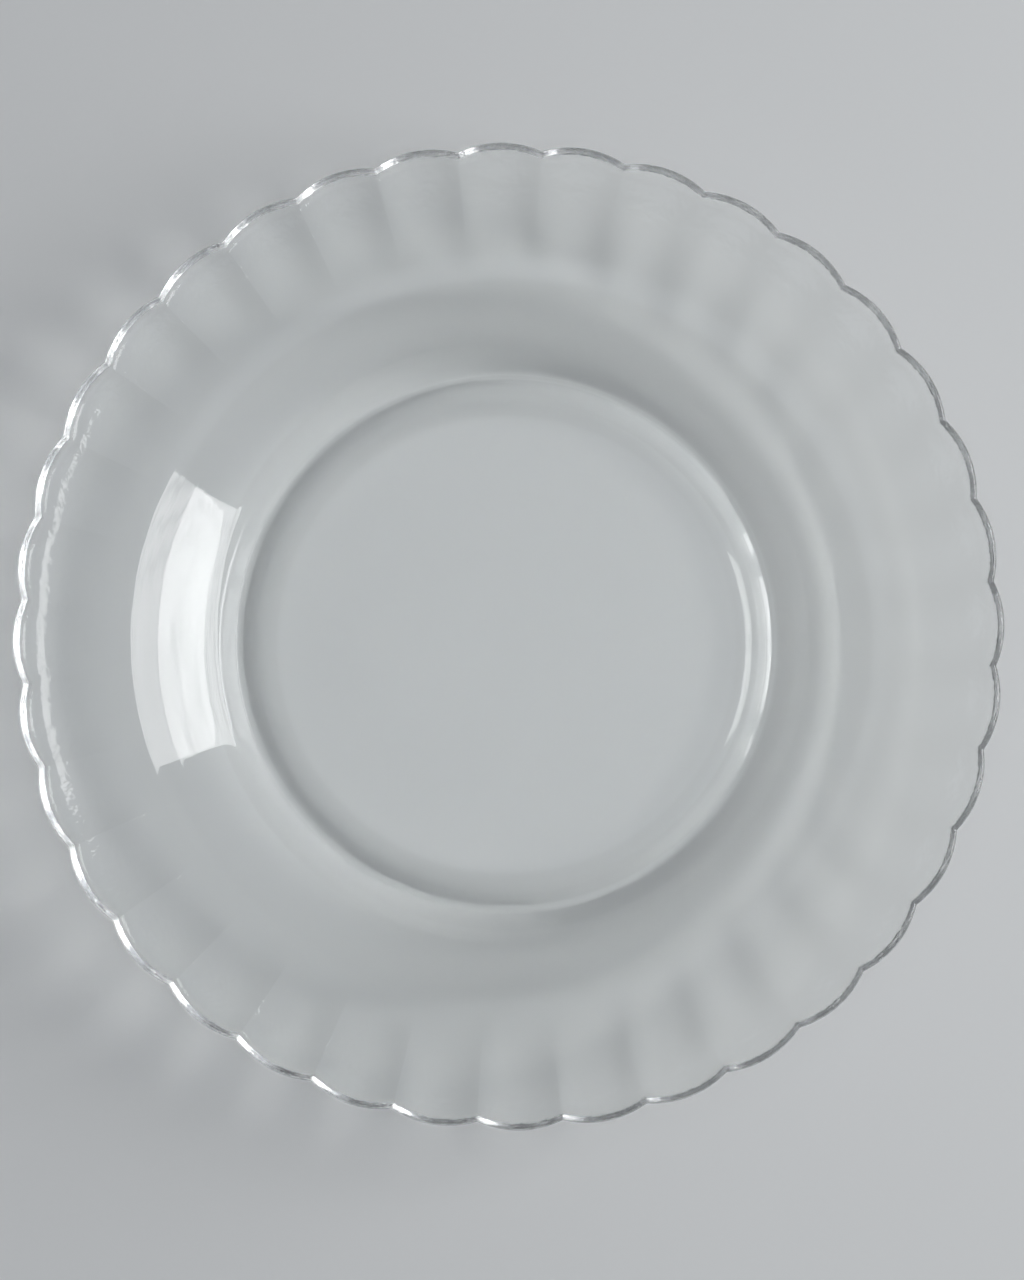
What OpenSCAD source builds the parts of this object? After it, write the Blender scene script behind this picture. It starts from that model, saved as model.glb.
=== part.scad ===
// Scalloped dessert plate, pressed and tempered clear glass, in one piece.
// A flat well stands on a low foot. Round it a steep wall eases into a ring of petals,
// whose undersides swell between grooves and whose tips make a scalloped edge.
// The origin is the centre of the foot, on the table.

/* [Well] */
// Diameter of the flat floor of the well
well_d = 91; // [80:1:98]
// Thickness of the glass in the well
floor_t = 2.8; // [2.4:0.1:4.4]
// Radial width of the curve from the floor to the wall
well_curve_w = 14.5; // [10:0.5:18]

/* [Foot] */
// Diameter of the contact circle, at the inner edge of its land
foot_d = 106.6; // [102:0.2:112]
// Width of the flat land that touches the table
foot_land_w = 0.9; // [0.5:0.1:2]
// Height of the base over the table, inside the foot
base_h = 2; // [1.2:0.1:2.4]
// Radial width of the curve from the foot up to the flat base
base_curve_w = 9; // [7:0.5:12]
// Width of the glass that is rounded off at the outer edge of the land
foot_edge_w = 0.45; // [0.3:0.05:0.6]
// Radial width of the steep side from there up to the wall
foot_side_w = 6.5; // [5.5:0.5:7.5]
// Radius of the curve from that side to the wall
foot_curve_r = 16; // [8:1:20]

/* [Wall] */
// Slope of the wall, in degrees
wall_slope = 26.5; // [22:0.5:32]
// Diameter at which the wall starts to ease into the petals
wall_end_d = 147; // [140:1:152]
// Radial width of the easing from the wall to the petals
wall_curve_w = 4; // [2:0.5:6]
// Thickness of the glass in the wall
wall_t = 3.1; // [2.6:0.1:3.6]

/* [Petals] */
// Diameter of the plate over the tips of the petals
rim_d = 195; // [188:1:215]
// Number of petals round the rim
petal_n = 36; // [28:1:40]
// Depth of the notches between the petals, seen from above
notch_depth = 1.5; // [1.2:0.1:2]
// Slope of the petals, in degrees
petal_slope = 15; // [10:0.5:19]
// Thickness of the glass at the middle of a petal
petal_t = 4.3; // [3.5:0.1:4.8]
// Depth of the grooves between the petals, at the rim
groove_depth = 0.7; // [0.5:0.1:1]
// Depth of the grooves at their inner ends
groove_start_depth = 0.5; // [0.3:0.1:0.5]
// Distance from the wall's easing to the inner ends of the grooves
groove_gap_w = 0.5; // [0.5:0.5:3]

/* [Lip] */
// Distance from the tips of the petals in to the start of the lip
lip_w = 8.6; // [7.4:0.2:10]
// Radial width over which the lip steepens
lip_rise_w = 3.4; // [2.6:0.2:4]
// Slope of the lip at its steepest, in degrees
lip_slope = 26; // [21:0.5:30]
// Radial width over which the lip flattens again
lip_fall_w = 2; // [1.2:0.2:2.6]
// Slope of the glass outside the lip, in degrees
lip_end_slope = 12; // [9:1:17]

/* [Hidden] */
// Steps along each curve of the section
curve_n = 8;
// Facets of a full circle
$fn = 96;
// Glass of the petals' middles that the swells cut into, as a share of the groove's depth
swell_dip_share = 0.05;
// Share of the pitch that a groove may take on each side of its own line
groove_turn_share = 0.49;
glass_colour = [0.78, 0.85, 0.86, 0.6];

well_r = well_d / 2;
foot_in_r = foot_d / 2;
foot_out_r = foot_in_r + foot_land_w;
rim_r = rim_d / 2;
pitch = 360 / petal_n;

// Well: floor height, and the curve that turns it up to the wall's slope
floor_z = base_h + floor_t;
well_curve_r = well_curve_w / sin(wall_slope);
well_curve_c = [well_r, floor_z + well_curve_r];
wall_start_r = well_r + well_curve_w;
wall_start_z = floor_z + well_curve_r * (1 - cos(wall_slope));

// Wall: a cone up to the curve that eases it into the petals
wall_end_r = wall_end_d / 2;
wall_end_z = wall_start_z + (wall_end_r - wall_start_r) * tan(wall_slope);
ease_r = wall_curve_w / (sin(wall_slope) - sin(petal_slope));
ease_c = [wall_end_r + ease_r * sin(wall_slope), wall_end_z - ease_r * cos(wall_slope)];
petal_start_r = wall_end_r + wall_curve_w;
petal_start_z = wall_end_z + ease_r * (cos(petal_slope) - cos(wall_slope));

// Petals: a shallow cone up to the lip, which steepens, flattens and runs on past the tips
lip_start_r = rim_r - lip_w;
lip_start_z = petal_start_z + (lip_start_r - petal_start_r) * tan(petal_slope);
lip_rise_r = lip_rise_w / (sin(lip_slope) - sin(petal_slope));
lip_rise_c = [lip_start_r - lip_rise_r * sin(petal_slope), lip_start_z + lip_rise_r * cos(petal_slope)];
lip_top_r = lip_start_r + lip_rise_w;
lip_top_z = lip_rise_c[1] - lip_rise_r * cos(lip_slope);
lip_fall_r = lip_fall_w / (sin(lip_slope) - sin(lip_end_slope));
lip_fall_c = [lip_top_r + lip_fall_r * sin(lip_slope), lip_top_z - lip_fall_r * cos(lip_slope)];
lip_end_r = lip_top_r + lip_fall_w;
lip_end_z = lip_fall_c[1] + lip_fall_r * cos(lip_end_slope);
stock_r = rim_r + lip_w - lip_rise_w - lip_fall_w;
stock_top_z = lip_end_z + (stock_r - lip_end_r) * tan(lip_end_slope);

// Base: the curve from the foot up to the flat part inside it
base_curve_r = (base_curve_w * base_curve_w + base_h * base_h) / (2 * base_h);
base_flat_r = foot_in_r - base_curve_w;
base_turn = asin(base_curve_w / base_curve_r);

// Underside of the petals and of the wall, at their thicknesses under the upper face
petal_low_z = petal_start_z - petal_t / cos(petal_slope);
wall_low_z = wall_end_z - wall_t / cos(wall_slope);
under_corner = crossing([wall_end_r, wall_low_z], wall_slope, [petal_start_r, petal_low_z], petal_slope);
under_ease_c = corner_centre(under_corner, wall_slope, petal_slope, ease_r);
stock_low_z = petal_low_z + (stock_r - petal_start_r) * tan(petal_slope);

// Outer side of the foot: up from the land's rounded edge to the wall
side_start_r = foot_out_r + foot_edge_w;
side_end_r = side_start_r + foot_side_w;
side_end_z = wall_low_z + (side_end_r - wall_end_r) * tan(wall_slope);
side_slope = atan(side_end_z / foot_side_w);
side_ease_c = corner_centre([side_end_r, side_end_z], side_slope, wall_slope, foot_curve_r);
foot_edge_r = foot_edge_w / tan(side_slope / 2);

// Outline of a petal: an arc through its tip and the notches beside it
notch_r = rim_r - notch_depth;
notch_x = notch_r * cos(pitch / 2);
notch_y = notch_r * sin(pitch / 2);
tip_rise = rim_r - notch_x;
outline_r = (notch_y * notch_y + tip_rise * tip_rise) / (2 * tip_rise);
outline_c = rim_r - outline_r;

// Grooves: they deepen outwards, and the swells of the petals beside them meet in them
groove_start_r = petal_start_r + groove_gap_w;
groove_start_z = petal_low_z + (groove_start_r - petal_start_r) * tan(petal_slope);
groove_w = rim_r - groove_start_r;
groove_slope = atan((groove_w * tan(petal_slope) + groove_depth - groove_start_depth) / groove_w);
groove_cut_len = (stock_r - groove_start_r) / cos(groove_slope);
swell_r = (notch_y * notch_y + groove_depth * groove_depth) / (2 * groove_depth);
swell_dip = swell_dip_share * groove_depth;
groove_turn = groove_turn_share * pitch;

function curve(centre, radius, from, to) =
    [for (i = [0:curve_n]) let (a = from + (to - from) * i / curve_n)
        centre + radius * [cos(a), sin(a)]];

// Where the line through p at slope a meets the line through q at slope b
function crossing(p, a, q, b) =
    let (r = (q[1] - p[1] + p[0] * tan(a) - q[0] * tan(b)) / (tan(a) - tan(b)))
        [r, p[1] + (r - p[0]) * tan(a)];

// Centre of the arc that rounds a corner whose slope falls from a to b
function corner_centre(corner, a, b, radius) =
    corner + radius / cos((a - b) / 2) * [sin((a + b) / 2), -cos((a + b) / 2)];

// Section of the glass: out along the top, past the tips, and back underneath
function section() = concat(
    [[0, floor_z]],
    curve(well_curve_c, well_curve_r, -90, wall_slope - 90),
    curve(ease_c, ease_r, 90 + wall_slope, 90 + petal_slope),
    curve(lip_rise_c, lip_rise_r, petal_slope - 90, lip_slope - 90),
    curve(lip_fall_c, lip_fall_r, 90 + lip_slope, 90 + lip_end_slope),
    [[stock_r, stock_top_z]],
    [[stock_r, stock_low_z]],
    curve(under_ease_c, ease_r, 90 + petal_slope, 90 + wall_slope),
    curve(side_ease_c, foot_curve_r, 90 + wall_slope, 90 + side_slope),
    curve([foot_out_r, foot_edge_r], foot_edge_r, side_slope - 90, -90),
    curve([base_flat_r, base_h - base_curve_r], base_curve_r, 90 - base_turn, 90),
    [[0, base_h]]);

// Plan of the plate: one arc to each petal
module outline() {
    circle(r = notch_x);
    for (k = [0:petal_n - 1])
        rotate(k * pitch)
            translate([outline_c, 0])
                circle(r = outline_r);
}

// What a groove takes away across its length, between the swells of two petals
module groove_section() {
    difference() {
        translate([-groove_depth, -notch_y])
            square([2 * groove_depth, 2 * notch_y]);
        for (side = [-1, 1])
            translate([swell_r - swell_dip, side * notch_y])
                circle(r = swell_r);
    }
}

// The cut of one groove, along +X, kept inside its own share of the rim
module groove_cut() {
    intersection() {
        translate([groove_start_r, 0, groove_start_z - groove_depth + groove_start_depth])
            rotate([0, 90 - groove_slope, 0])
                rotate([0, 0, 180])
                    linear_extrude(height = groove_cut_len)
                        groove_section();
        linear_extrude(height = 2 * stock_top_z)
            polygon([[0, 0],
                2 * rim_r * [cos(groove_turn), -sin(groove_turn)],
                2 * rim_r * [cos(groove_turn), sin(groove_turn)]]);
    }
}

module plate() {
    color(glass_colour)
        difference() {
            intersection() {
                rotate_extrude()
                    polygon(section());
                linear_extrude(height = 2 * stock_top_z)
                    outline();
            }
            for (k = [0:petal_n - 1])
                rotate([0, 0, (k + 0.5) * pitch])
                    groove_cut();
        }
}

plate();
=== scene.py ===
"""Scalloped dessert plate of clear pressed glass, dressed for a photograph from above.

Everything is in metres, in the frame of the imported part: +Z up, the origin at the centre of the
foot, on the table.
"""

import math

import bpy
from mathutils import Matrix, Vector


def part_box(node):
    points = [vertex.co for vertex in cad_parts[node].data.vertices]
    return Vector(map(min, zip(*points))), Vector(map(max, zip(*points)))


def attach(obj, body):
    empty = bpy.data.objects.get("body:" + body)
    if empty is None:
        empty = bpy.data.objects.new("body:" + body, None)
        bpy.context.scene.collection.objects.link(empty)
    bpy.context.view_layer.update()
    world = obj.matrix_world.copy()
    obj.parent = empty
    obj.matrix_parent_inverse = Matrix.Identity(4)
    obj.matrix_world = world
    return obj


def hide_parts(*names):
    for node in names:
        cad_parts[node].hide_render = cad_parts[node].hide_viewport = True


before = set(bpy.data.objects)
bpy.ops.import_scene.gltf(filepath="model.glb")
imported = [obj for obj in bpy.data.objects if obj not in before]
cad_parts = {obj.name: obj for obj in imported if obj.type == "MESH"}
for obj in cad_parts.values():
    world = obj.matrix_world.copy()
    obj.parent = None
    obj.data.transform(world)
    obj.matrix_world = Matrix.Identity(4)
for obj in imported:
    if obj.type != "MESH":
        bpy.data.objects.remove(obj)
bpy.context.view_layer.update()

bl_info = {
    "name": "Scalloped dessert plate",
    "version": (1, 0, 0),
    "blender": (4, 5, 0),
    "location": "View3D > Sidebar > Plate",
    "description": "A pressed glass dessert plate with a fluted rim, and a studio table for it",
    "category": "Object",
}

MM = 0.001

# From the axis to the tip of the petal on +X, in the CAD
RIM_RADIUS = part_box("plate")[1].x

# Vertices closer than this are one
MERGE_DISTANCE = 0.01 * MM

# The turn from the middle of a petal to its notch: shares of it, and the steps along each
TURN_PARTS = ((0.9, 9), (0.07, 1), (0.03, 1))


def linear(hex_colour):
    """An sRGB hex colour as linear red, green, blue and alpha."""
    channels = [int(hex_colour[i:i + 2], 16) / 255 for i in (1, 3, 5)]
    return tuple(
        c / 12.92 if c <= 0.04045 else ((c + 0.055) / 1.055) ** 2.4 for c in channels
    ) + (1.0,)


# Kinds of properties

def length(name, description, default):
    """A size in metres, for a property group."""
    return bpy.props.FloatProperty(
        name=name, description=description, default=default, subtype="DISTANCE",
        unit="LENGTH", precision=5, min=0)


def slope(name, description, degrees):
    """An angle, for a property group."""
    return bpy.props.FloatProperty(
        name=name, description=description, default=math.radians(degrees), subtype="ANGLE",
        unit="ROTATION", min=-math.pi, max=math.pi)


def share(name, description, default):
    """A share from 0 to 1, for a property group."""
    return bpy.props.FloatProperty(
        name=name, description=description, default=default, min=0, max=1)


def amount(name, description, default, least=0):
    """A number without a unit, for a property group."""
    return bpy.props.FloatProperty(
        name=name, description=description, default=default, min=least)


def count(name, description, default, least=1):
    """A whole number, for a property group."""
    return bpy.props.IntProperty(
        name=name, description=description, default=default, min=least)


def colour(name, description, hex_colour):
    """A linear colour, for a property group."""
    return bpy.props.FloatVectorProperty(
        name=name, description=description, default=linear(hex_colour)[:3], subtype="COLOR",
        size=3, min=0, max=1)


class PlateSizes(bpy.types.PropertyGroup):
    """Sizes of the pressed glass."""
    rim_radius: length("Rim radius", "From the axis to the tip of a petal", RIM_RADIUS)
    petals: count("Petals", "Petals round the rim", 36, least=3)
    notch_depth: length("Notch depth", "How far the notches between the petals cut in", 1.5 * MM)
    petal_slope: slope("Petal slope", "Slope of the petals", 15)
    wall_slope: slope("Wall slope", "Slope of the wall", 26.5)
    wall_end: length("Wall end", "Radius where the wall starts to ease into the petals", 73.5 * MM)
    wall_ease: length("Wall easing", "Radial width of that easing", 4 * MM)
    well_radius: length("Well radius", "Radius of the flat floor of the well", 45.5 * MM)
    well_curve: length("Well curve", "Radial width from the floor to the wall", 14.5 * MM)
    floor_height: length("Well floor height", "The well's floor over the table", 4.8 * MM)
    base_height: length("Base height", "The base over the table, inside the foot", 2 * MM)
    base_curve: length("Base curve", "Radial width from the foot to the flat base", 9 * MM)
    foot_inner: length("Foot inner radius", "Inner radius of the land on the table", 53.3 * MM)
    foot_land: length("Foot land", "Width of that land", 0.9 * MM)
    foot_round: length("Foot rounding", "Radial width of the rounding outside the land", 0.8 * MM)
    foot_slope: slope("Foot slope", "Slope of the foot's outer side", 39.35)
    foot_end: length("Foot end", "Radius where the foot's side has eased into the wall", 62.5 * MM)
    foot_curve: length("Foot curve", "Radial width of that easing", 2.5 * MM)
    under_end: length("Wall end underneath", "Radius where the wall's lower face ends", 69.2 * MM)
    lip_start: length("Lip start", "Distance of the lip's start from the edge", 8.6 * MM)
    lip_rise: length("Lip rise", "Radial width over which the lip steepens", 3 * MM)
    lip_flat: length("Lip flat", "Radial width of the lip's steepest part", 0.8 * MM)
    lip_fall: length("Lip fall", "Radial width over which it flattens again", 1.8 * MM)
    lip_slope: slope("Lip slope", "The steepest slope of the lip", 25.5)
    lip_end_slope: slope("Lip end slope", "Slope where the edge's rounding starts", 12)
    lip_follow: share("Lip follow", "How far the lip follows the scallops of the edge", 0.4)
    edge_width: length("Edge width", "From the end of the lower face to the tip", 2.4 * MM)
    edge_round: length("Edge rounding", "Radial width of the rounding at the top", 0.95 * MM)
    edge_low_round: length("Lower rounding", "Radius of the rounding under the edge", 3 * MM)
    pull_start: length("Scallop start", "Radius from which the notches draw the glass in", 84 * MM)
    pull_power: amount("Scallop power", "Power with which that grows out to the edge", 1.5)
    groove_start: length("Groove start", "Radius where the grooves begin", 76.3 * MM)
    groove_ramp: length("Groove end", "Radial width of the grooves' inner ends", 7 * MM)
    groove_start_depth: length("Groove start depth", "Depth at their inner ends", 0.36 * MM)
    groove_depth: length("Groove depth", "Depth of the grooves at the edge", 0.68 * MM)
    crease: slope("Crease", "Faces that meet at more than this angle keep their edge", 12)


class MeshSteps(bpy.types.PropertyGroup):
    """Steps along each part of the section."""
    straight: count("Straights", "Along each plain straight", 2)
    well_curve: count("Well curve", "Along the curve from the floor to the wall", 14)
    wall_ease: count("Wall easing", "Along the easing from the wall to the petals", 6)
    petal_top: count("Petal, upper face", "From the wall's easing to the lip", 5)
    lip: count("Lip", "Along each bend of the lip", 8)
    lip_end: count("Lip end", "From the lip to the edge's rounding", 4)
    edge_round: count("Edge rounding", "Along the rounding at the top of the edge", 10)
    edge_low_round: count("Lower rounding", "Along the rounding under the edge", 12)
    base_curve: count("Base curve", "Along the curve from the foot to the flat base", 8)
    foot_round: count("Foot rounding", "Along the rounding outside the land", 5)
    foot_curve: count("Foot curve", "Along the easing from the foot to the wall", 4)
    groove_ramp: count("Groove end", "Along the grooves' inner ends", 9)
    petal_under: count("Petal, lower face", "From the grooves' inner ends to the edge", 6)
    fineness: count("Fineness", "How much finer the bends are when heights are read off them", 8)


class GlassFinish(bpy.types.PropertyGroup):
    """Looks of the glass."""
    tint: colour("Glass tint", "What the glass lets through, at one surface", "#FEFFFE")
    ior: amount("IOR", "Index of refraction", 1.52, least=1)
    roughness: share("Roughness", "Roughness of the fire-polished skin", 0)
    mark_spacing: length("Press mark spacing", "Between the turned marks of the mould", 1.3 * MM)
    mark_depth: length("Press mark depth", "Depth of those marks", 0.005 * MM)
    mark_detail: count("Press mark detail", "Finer marks on those marks", 3)
    skin_start: length("Wavy skin start", "Radius where the rim's skin starts to wave", 84 * MM)
    skin_full: length("Wavy skin", "Radius from which it is as wavy as it gets", 89 * MM)
    skin_spacing: length("Skin wave spacing", "Distance between the waves of the skin", 1.6 * MM)
    skin_depth: length("Skin wave depth", "Depth of those waves", 0.09 * MM)
    skin_detail: count("Skin wave detail", "Finer waves on those waves", 2)


class StageSizes(bpy.types.PropertyGroup):
    """Table, lights and camera."""
    floor_size: length("Table size", "Side of the table", 8)
    floor_gap: length("Table gap", "Air under the foot", 0.02 * MM)
    floor_colour: colour("Table colour", "Pale matt grey", "#DEDFDE")
    floor_roughness: share("Table roughness", "Roughness of its paint", 0.8)
    floor_gloss: share("Table gloss", "Specular level of its paint", 0.1)
    box_azimuth: slope("Softbox azimuth", "Direction of the softbox, seen from above", 3.8)
    box_elevation: slope("Softbox elevation", "Height angle of the softbox", 29.5)
    box_distance: length("Softbox distance", "From the plate to the softbox", 1.2)
    box_width: length("Softbox width", "Width of the softbox", 0.73)
    box_height: length("Softbox height", "Height of the softbox", 0.85)
    box_radiance: amount("Softbox brightness", "Of its face, where white paper is 1", 5.6)
    fold_spacing: length("Fold spacing", "Between the folds of the softbox's cloth", 30 * MM)
    fold_detail: count("Fold detail", "Finer folds on those folds", 2)
    fold_deep: share("Fold depth", "Value of the noise where a fold is deepest", 0.38)
    fold_edge: share("Fold edge", "Value of the noise where a fold starts", 0.54)
    fold_dim: amount("Fold brightness", "Share of the brightness left in a fold", 0.5)
    fold_bright: amount("Cloth brightness", "The same, between the folds", 1.05)
    room_colour: colour("Room colour", "Colour of the light from the room", "#F4F8FF")
    room_bright: amount("Bright side", "Brightness of the room on the softbox's side", 1)
    room_dim: amount("Dim side", "Brightness of the room on the far side", 0.07)
    room_lift: slope("Bright side's height", "Height angle of the room's brightest part", 20)
    room_near: share("Bright side's edge", "Cosine from there within which it is bright", 0.9)
    room_far: share("Dim side's edge", "Cosine from there beyond which it is dim", 0.3)
    ceiling: amount("Ceiling", "Brightness that the ceiling over the table adds", 0.85)
    ceiling_full: share("Ceiling's middle", "Cosine from straight up where it is in full", 0.99)
    ceiling_edge: share("Ceiling's edge", "Cosine from straight up where it starts", 0.92)
    camera_azimuth: slope("Camera azimuth", "Direction of the camera, seen from above", -105.2)
    camera_elevation: slope("Camera elevation", "Height angle of the camera", 84.5)
    camera_distance: length("Camera distance", "From the aimed point to the camera", 1.13)
    camera_up: slope("Camera up", "Direction on the table that points up in the picture", 88.8)
    aim_right: length("Aim right", "The aimed point, right of the foot's centre", 0.94 * MM)
    aim_up: length("Aim up", "The aimed point, above the foot's centre", 0.52 * MM)
    view_height: length("View height", "Height of the table that is in view", 256.4 * MM)
    bounces: count("Bounces", "Passes of light through glass and off it", 32)


# Section of the glass, as points of radius and height

def steps(first, last, number):
    """Equal steps from first to last, without first."""
    return [first + (last - first) * (i + 1) / number for i in range(number)]


def bend(points, width, slope_from, slope_to, number):
    """Goes on from the last point along an arc that takes this radial width."""
    r, z = points[-1]
    radius = width / (math.sin(slope_to) - math.sin(slope_from))
    for a in steps(slope_from, slope_to, number):
        points.append((r + radius * (math.sin(a) - math.sin(slope_from)),
                       z + radius * (math.cos(slope_from) - math.cos(a))))


def run(points, r_to, at_slope, number):
    """Goes on from the last point in a straight line of that slope."""
    r, z = points[-1]
    points.extend((x, z + (x - r) * math.tan(at_slope)) for x in steps(r, r_to, number))


def top_section(s, n, fineness=1):
    """The upper face at the tip of a petal, from the axis out to the edge's rounding."""
    lip_start = s.rim_radius - s.lip_start
    points = [(0.0, s.floor_height)]
    run(points, s.well_radius, 0, n.straight)
    bend(points, s.well_curve, 0, s.wall_slope, n.well_curve * fineness)
    run(points, s.wall_end, s.wall_slope, n.straight)
    bend(points, s.wall_ease, s.wall_slope, s.petal_slope, n.wall_ease * fineness)
    run(points, lip_start, s.petal_slope, n.petal_top)
    bend(points, s.lip_rise, s.petal_slope, s.lip_slope, n.lip * fineness)
    run(points, lip_start + s.lip_rise + s.lip_flat, s.lip_slope, n.straight)
    bend(points, s.lip_fall, s.lip_slope, s.lip_end_slope, n.lip * fineness)
    run(points, s.rim_radius - s.edge_round, s.lip_end_slope, n.lip_end)
    return points


def under_section(s, n):
    """The lower face at the middle of a petal, from the axis out to the lower rounding."""
    rise = s.base_height
    base_radius = (s.base_curve ** 2 + rise ** 2) / (2 * rise)
    points = [(0.0, rise)]
    run(points, s.foot_inner - s.base_curve, 0, n.straight)
    bend(points, s.base_curve, 0, -math.asin(s.base_curve / base_radius), n.base_curve)
    run(points, s.foot_inner + s.foot_land, 0, n.straight)
    bend(points, s.foot_round, 0, s.foot_slope, n.foot_round)
    run(points, s.foot_end - s.foot_curve, s.foot_slope, n.straight)
    bend(points, s.foot_curve, s.foot_slope, s.wall_slope, n.foot_curve)
    run(points, s.under_end, s.wall_slope, n.straight)
    bend(points, s.wall_ease, s.wall_slope, s.petal_slope, n.wall_ease)
    run(points, s.groove_start, s.petal_slope, n.straight)
    run(points, s.groove_start + s.groove_ramp, s.petal_slope, n.groove_ramp)
    run(points, s.rim_radius - s.edge_width, s.petal_slope, n.petal_under)
    return points


def edge_section(s, n, start, end):
    """The edge, between the two faces: a small rounding, an upright face, a large rounding."""
    points = [start]
    bend(points, s.edge_round, s.lip_end_slope, -math.pi / 2, n.edge_round)
    # The large rounding touches the upright face and the lower face, whose normal is up
    up = Vector((-math.sin(s.petal_slope), math.cos(s.petal_slope)))
    centre_r = s.rim_radius - s.edge_low_round
    centre_z = (up.dot(Vector(end)) + s.edge_low_round - up.x * centre_r) / up.y
    centre = Vector((centre_r, centre_z))
    points.extend((s.rim_radius, z) for z in steps(points[-1][1], centre.y, n.straight))
    points.extend(tuple(centre + s.edge_low_round * Vector((math.cos(a), math.sin(a))))
                  for a in steps(0, s.petal_slope - math.pi / 2, n.edge_low_round))
    return points[1:]


def outline_radius(s, angle):
    """Radius of the scalloped edge at this angle from the middle of a petal."""
    half = math.pi / s.petals
    notch = s.rim_radius - s.notch_depth
    notch_x, notch_y = notch * math.cos(half), notch * math.sin(half)
    rise = s.rim_radius - notch_x
    arc = (notch_y ** 2 + rise ** 2) / (2 * rise)
    centre = s.rim_radius - arc
    return centre * math.cos(angle) + math.sqrt(arc ** 2 - (centre * math.sin(angle)) ** 2)


def smooth(x):
    """Eases a share in and out between 0 and 1."""
    x = min(1, max(0, x))
    return x * x * (3 - 2 * x)


def height_at(points, radius):
    """Height of a section at this radius."""
    for (r, z), (r_next, z_next) in zip(points, points[1:]):
        if r <= radius <= r_next:
            return z + (z_next - z) * (radius - r) / (r_next - r)
    return points[-1][1]


def groove_rise(s, radius, angle):
    """How far the grooves lift the lower face, at this angle from the middle of a petal."""
    along = max(0, (radius - s.groove_start) / (s.rim_radius - s.groove_start))
    deep = s.groove_start_depth + (s.groove_depth - s.groove_start_depth) * along
    begun = smooth((radius - s.groove_start) / s.groove_ramp)
    return begun * deep * (angle * s.petals / math.pi) ** 2


# Modelling

def start_edit():
    """Goes into edit mode with every vertex selected."""
    bpy.ops.object.mode_set(mode="EDIT")
    bpy.ops.mesh.select_mode(type="VERT")
    bpy.ops.mesh.select_all(action="SELECT")


def draw_chain(points):
    """Draws edges in the plane of X and Z, by extruding a vertex from point to point."""
    # The vertex is a plane merged to its centre, so the plane's size doesn't show
    bpy.ops.object.select_all(action="DESELECT")
    bpy.ops.mesh.primitive_plane_add(size=MM, location=(points[0][0], 0, points[0][1]))
    start_edit()
    bpy.ops.mesh.merge(type="CENTER")
    for (r, z), (r_next, z_next) in zip(points, points[1:]):
        bpy.ops.mesh.extrude_region_move(
            TRANSFORM_OT_translate={"value": (r_next - r, 0, z_next - z)})


def turn_half_petal(s):
    """Spins the section from the middle of a petal to its notch, in finer steps near the notch."""
    half = math.pi / s.petals
    bpy.ops.mesh.select_all(action="SELECT")
    for part, number in TURN_PARTS:
        bpy.ops.mesh.spin(steps=number, angle=part * half, center=(0, 0, 0), axis=(0, 0, 1))
    bpy.ops.object.mode_set(mode="OBJECT")


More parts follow.
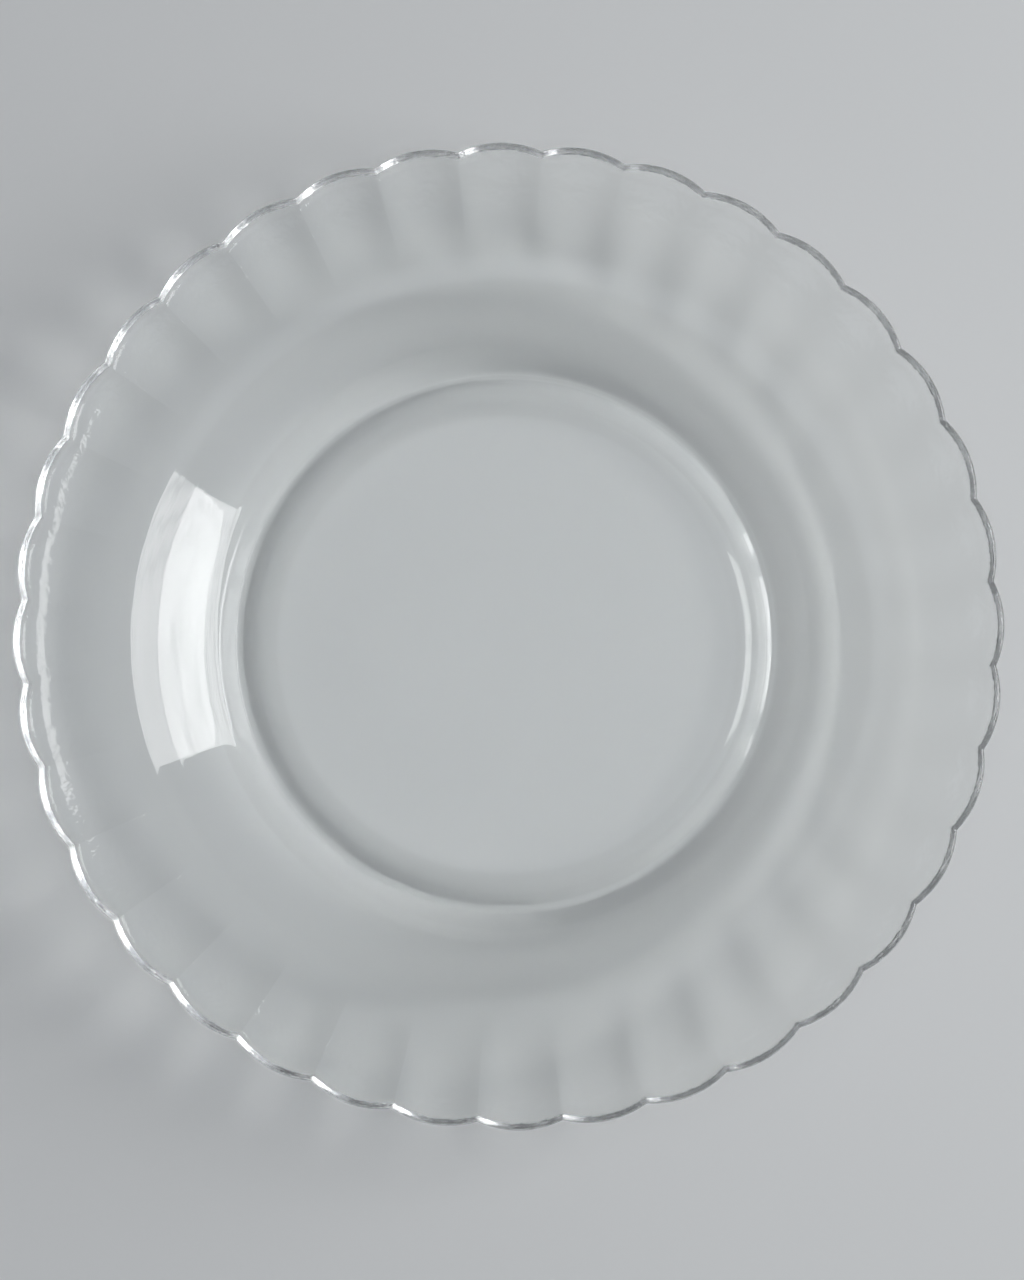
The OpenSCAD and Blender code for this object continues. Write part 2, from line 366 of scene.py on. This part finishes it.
class PLATE_OT_press(bpy.types.Operator):
    """Model the glass plate: half a petal, mirrored and copied round the axis"""
    bl_idname = "plate.press"
    bl_label = "Press the plate"
    bl_options = {"REGISTER", "UNDO"}

    def execute(self, context):
        s, n = context.scene.plate_sizes, context.scene.mesh_steps
        top = top_section(s, n)
        under = under_section(s, n)
        edge = edge_section(s, n, top[-1], under[-1])
        chain = top + edge + under[::-1]
        draw_chain(chain)
        turn_half_petal(s)
        plate = context.object
        plate.name = "pressed_glass_plate"
        self.shape(plate, s, n, chain, len(top), len(edge))
        mirror = plate.modifiers.new("other half", "MIRROR")
        mirror.use_axis = (False, True, False)
        mirror.merge_threshold = MERGE_DISTANCE
        bpy.ops.object.modifier_apply(modifier=mirror.name)
        start_edit()
        pitch = 2 * math.pi / s.petals
        bpy.ops.mesh.spin(steps=s.petals - 1, dupli=True, angle=2 * math.pi - pitch,
                          center=(0, 0, 0), axis=(0, 0, 1))
        bpy.ops.mesh.select_all(action="SELECT")
        bpy.ops.mesh.remove_doubles(threshold=MERGE_DISTANCE)
        bpy.ops.mesh.normals_make_consistent(inside=False)
        bpy.ops.object.mode_set(mode="OBJECT")
        bpy.ops.object.transform_apply(location=True, rotation=True, scale=True)
        bpy.ops.object.shade_smooth_by_angle(angle=s.crease)
        plate.data.materials.append(soda_lime_glass(context.scene.glass_finish))
        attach(plate, "root")
        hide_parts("plate")
        return {"FINISHED"}

    def shape(self, plate, s, n, chain, top_count, edge_count):
        """Draws the edge in towards the notch, the lip part of the way, and hollows the groove."""
        fine_top = top_section(s, n, n.fineness)
        edge_start = s.rim_radius - s.edge_width
        fall = math.tan(s.petal_slope)
        for v in plate.data.vertices:
            place = plate.matrix_world @ v.co
            r, z = math.hypot(place.x, place.y), place.z
            angle = math.atan2(place.y, place.x)
            row = min(range(len(chain)),
                      key=lambda i: abs(chain[i][0] - r) + abs(chain[i][1] - z))
            pull = outline_radius(s, angle) - s.rim_radius
            along = (r - s.pull_start) / (edge_start - s.pull_start)
            drawn = min(1, max(0, along)) ** s.pull_power
            new_r = r + drawn * pull
            lip_shift = s.lip_follow * drawn * pull
            top_r = min(new_r, s.rim_radius - s.edge_round + pull)
            top_z = height_at(fine_top, top_r - lip_shift) + lip_shift * fall
            low_r = min(new_r, edge_start + pull)
            low_rise = drawn * pull * fall + groove_rise(s, low_r, angle)
            if row < top_count:
                new_z = top_z if r > s.pull_start else z
            elif row >= top_count + edge_count:
                new_z = z + low_rise
            else:
                below = smooth((row - top_count + 1) / (edge_count + 1))
                top_rise = top_z - chain[top_count - 1][1]
                new_z = z + top_rise + (low_rise - top_rise) * below
            new_place = Vector((new_r * math.cos(angle), new_r * math.sin(angle), new_z))
            v.co = plate.matrix_world.inverted() @ new_place


# Materials

def add_node(tree, kind, links=(), **settings):
    """Adds a node with its settings; a link is (input, node, output)."""
    node = tree.nodes.new(kind)
    for name, value in settings.items():
        if name.startswith("in_"):
            key = name[3:].replace("_", " ")
            key = int(key) if key.isdigit() else key
            node.inputs[key].default_value = value
        else:
            setattr(node, name, value)
    for socket, source, output in links:
        tree.links.new(source.outputs[output], node.inputs[socket])
    return node


def new_material(name):
    """A material with an empty node tree."""
    material = bpy.data.materials.new(name)
    material.use_nodes = True
    material.node_tree.nodes.clear()
    return material, material.node_tree


def soda_lime_glass(f):
    """Soda-lime glass, pressed and fire-polished: clear, with turned marks that ripple the
    highlights, and a wavy skin near the rim that breaks up the streak along the lip."""
    material, tree = new_material("Soda-lime glass, pressed")
    place = add_node(tree, "ShaderNodeTexCoord")
    flat = add_node(tree, "ShaderNodeVectorMath", [(0, place, "Object")], operation="MULTIPLY",
                    in_1=(1, 1, 0))
    radius = add_node(tree, "ShaderNodeVectorMath", [(0, flat, 0)], operation="LENGTH")
    marks = add_node(tree, "ShaderNodeTexNoise", [("W", radius, "Value")], noise_dimensions="1D",
                     in_Scale=1 / f.mark_spacing, in_Detail=f.mark_detail)
    turned = add_node(tree, "ShaderNodeBump", [("Height", marks, 0)], in_Distance=f.mark_depth)
    skin = add_node(tree, "ShaderNodeTexNoise", [("Vector", place, "Object")],
                    in_Scale=1 / f.skin_spacing, in_Detail=f.skin_detail)
    outer = add_node(tree, "ShaderNodeMapRange", [("Value", radius, "Value")],
                     interpolation_type="SMOOTHSTEP", in_From_Min=f.skin_start,
                     in_From_Max=f.skin_full)
    wavy = add_node(tree, "ShaderNodeBump",
                    [("Height", skin, 0), ("Strength", outer, 0), ("Normal", turned, 0)],
                    in_Distance=f.skin_depth)
    glass = add_node(tree, "ShaderNodeBsdfPrincipled", [("Normal", wavy, 0)],
                     in_Base_Color=tuple(f.tint) + (1,), in_Roughness=f.roughness, in_IOR=f.ior,
                     in_Transmission_Weight=1)
    add_node(tree, "ShaderNodeOutputMaterial", [("Surface", glass, 0)])
    return material


def table_paint(s):
    """Matt paint on a board: an even pale grey."""
    material, tree = new_material("Matt paint, pale grey")
    paint = add_node(tree, "ShaderNodeBsdfPrincipled",
                     in_Base_Color=tuple(s.floor_colour) + (1,), in_Roughness=s.floor_roughness,
                     in_Specular_IOR_Level=s.floor_gloss)
    add_node(tree, "ShaderNodeOutputMaterial", [("Surface", paint, 0)])
    return material


# Stage

def towards(azimuth, elevation):
    """The direction of a point at this azimuth and height angle."""
    return Vector((math.cos(elevation) * math.cos(azimuth),
                   math.cos(elevation) * math.sin(azimuth), math.sin(elevation)))


class PLATE_OT_set_stage(bpy.types.Operator):
    """Set the table, the softbox, the light of the room and the camera"""
    bl_idname = "plate.set_stage"
    bl_label = "Set the stage"
    bl_options = {"REGISTER", "UNDO"}

    def execute(self, context):
        s = context.scene.stage_sizes
        self.table(context, s)
        self.softbox(context, s)
        self.room(context, s)
        self.camera(context, s)
        context.scene.view_settings.view_transform = "Standard"
        cycles = context.scene.cycles
        cycles.blur_glossy = 0
        cycles.max_bounces = s.bounces
        cycles.transmission_bounces = s.bounces
        cycles.glossy_bounces = s.bounces
        cycles.caustics_refractive = True
        cycles.caustics_reflective = True
        return {"FINISHED"}

    def table(self, context, s):
        """A pale painted board."""
        bpy.ops.object.select_all(action="DESELECT")
        bpy.ops.mesh.primitive_plane_add(size=s.floor_size, location=(0, 0, -s.floor_gap))
        table = context.object
        table.name = "table"
        bpy.ops.object.transform_apply(location=True, rotation=True, scale=True)
        table.data.materials.append(table_paint(s))

    def softbox(self, context, s):
        """A lamp behind cloth, whose level folds give streaks along the wall's highlight."""
        direction = towards(s.box_azimuth, s.box_elevation)
        turn = direction.to_track_quat("Z", "Y")
        bpy.ops.object.light_add(type="AREA", location=direction * s.box_distance)
        lamp = context.object
        lamp.name = "softbox"
        lamp.rotation_euler = turn.to_euler()
        lamp.data.shape = "RECTANGLE"
        lamp.data.size = s.box_width
        lamp.data.size_y = s.box_height
        lamp.data.energy = s.box_radiance * math.pi * s.box_width * s.box_height
        lamp.data.use_nodes = True
        tree = lamp.data.node_tree
        tree.nodes.clear()
        place = add_node(tree, "ShaderNodeNewGeometry")
        height = add_node(tree, "ShaderNodeVectorMath", [(0, place, "Position")],
                          operation="DOT_PRODUCT", in_1=turn @ Vector((0, 1, 0)))
        folds = add_node(tree, "ShaderNodeTexNoise", [("W", height, "Value")],
                         noise_dimensions="1D", in_Scale=1 / s.fold_spacing,
                         in_Detail=s.fold_detail)
        level = add_node(tree, "ShaderNodeMapRange", [("Value", folds, 0)],
                         in_From_Min=s.fold_deep, in_From_Max=s.fold_edge,
                         in_To_Min=s.fold_dim, in_To_Max=s.fold_bright)
        light = add_node(tree, "ShaderNodeEmission", [("Strength", level, 0)])
        add_node(tree, "ShaderNodeOutputLight", [("Surface", light, 0)])

    def room(self, context, s):
        """Light from all round, brighter on the softbox's side and straight above."""
        world = bpy.data.worlds.new("room light")
        context.scene.world = world
        world.use_nodes = True
        tree = world.node_tree
        tree.nodes.clear()
        place = add_node(tree, "ShaderNodeTexCoord")
        side = add_node(tree, "ShaderNodeVectorMath", [(0, place, "Generated")],
                        operation="DOT_PRODUCT", in_1=towards(s.box_azimuth, s.room_lift))
        walls = add_node(tree, "ShaderNodeMapRange", [("Value", side, "Value")],
                         interpolation_type="SMOOTHSTEP", in_From_Min=s.room_far,
                         in_From_Max=s.room_near, in_To_Min=s.room_dim, in_To_Max=s.room_bright)
        height = add_node(tree, "ShaderNodeSeparateXYZ", [(0, place, "Generated")])
        ceiling = add_node(tree, "ShaderNodeMapRange", [("Value", height, "Z")],
                           interpolation_type="SMOOTHSTEP", in_From_Min=s.ceiling_edge,
                           in_From_Max=s.ceiling_full, in_To_Min=0, in_To_Max=s.ceiling)
        level = add_node(tree, "ShaderNodeMath", [(0, walls, 0), (1, ceiling, 0)],
                         operation="ADD")
        light = add_node(tree, "ShaderNodeBackground", [("Strength", level, 0)],
                         in_Color=tuple(s.room_colour) + (1,))
        add_node(tree, "ShaderNodeOutputWorld", [("Surface", light, 0)])

    def camera(self, context, s):
        """The photograph's camera, over the plate and a little off its axis."""
        up_hint = towards(s.camera_up, 0)
        right_hint = towards(s.camera_up - math.pi / 2, 0)
        aim = right_hint * s.aim_right + up_hint * s.aim_up
        back = towards(s.camera_azimuth, s.camera_elevation)
        right = up_hint.cross(back).normalized()
        up = back.cross(right)
        bpy.ops.object.camera_add(location=aim + back * s.camera_distance)
        camera = context.object
        camera.name = "camera"
        camera.rotation_euler = Matrix((right, up, back)).transposed().to_euler()
        camera.data.sensor_fit = "VERTICAL"
        camera.data.lens = camera.data.sensor_height * s.camera_distance / s.view_height
        context.scene.camera = camera


class PLATE_PT_panel(bpy.types.Panel):
    """The plate's sizes and tools"""
    bl_idname = "PLATE_PT_panel"
    bl_label = "Dessert plate"
    bl_space_type = "VIEW_3D"
    bl_region_type = "UI"
    bl_category = "Plate"

    def draw(self, context):
        for name, group in GROUPS.items():
            box = self.layout.box()
            for size in group.__annotations__:
                box.prop(getattr(context.scene, name), size)
        for operator in (PLATE_OT_press, PLATE_OT_set_stage):
            self.layout.operator(operator.bl_idname)


GROUPS = {
    "plate_sizes": PlateSizes,
    "mesh_steps": MeshSteps,
    "glass_finish": GlassFinish,
    "stage_sizes": StageSizes,
}
CLASSES = (*GROUPS.values(), PLATE_OT_press, PLATE_OT_set_stage, PLATE_PT_panel)


def register():
    for cls in CLASSES:
        bpy.utils.register_class(cls)
    for name, group in GROUPS.items():
        setattr(bpy.types.Scene, name, bpy.props.PointerProperty(type=group))


def unregister():
    for name in GROUPS:
        delattr(bpy.types.Scene, name)
    for cls in reversed(CLASSES):
        bpy.utils.unregister_class(cls)


def main():
    register()
    bpy.ops.plate.press()
    bpy.ops.plate.set_stage()


if __name__ == "__main__":
    main()
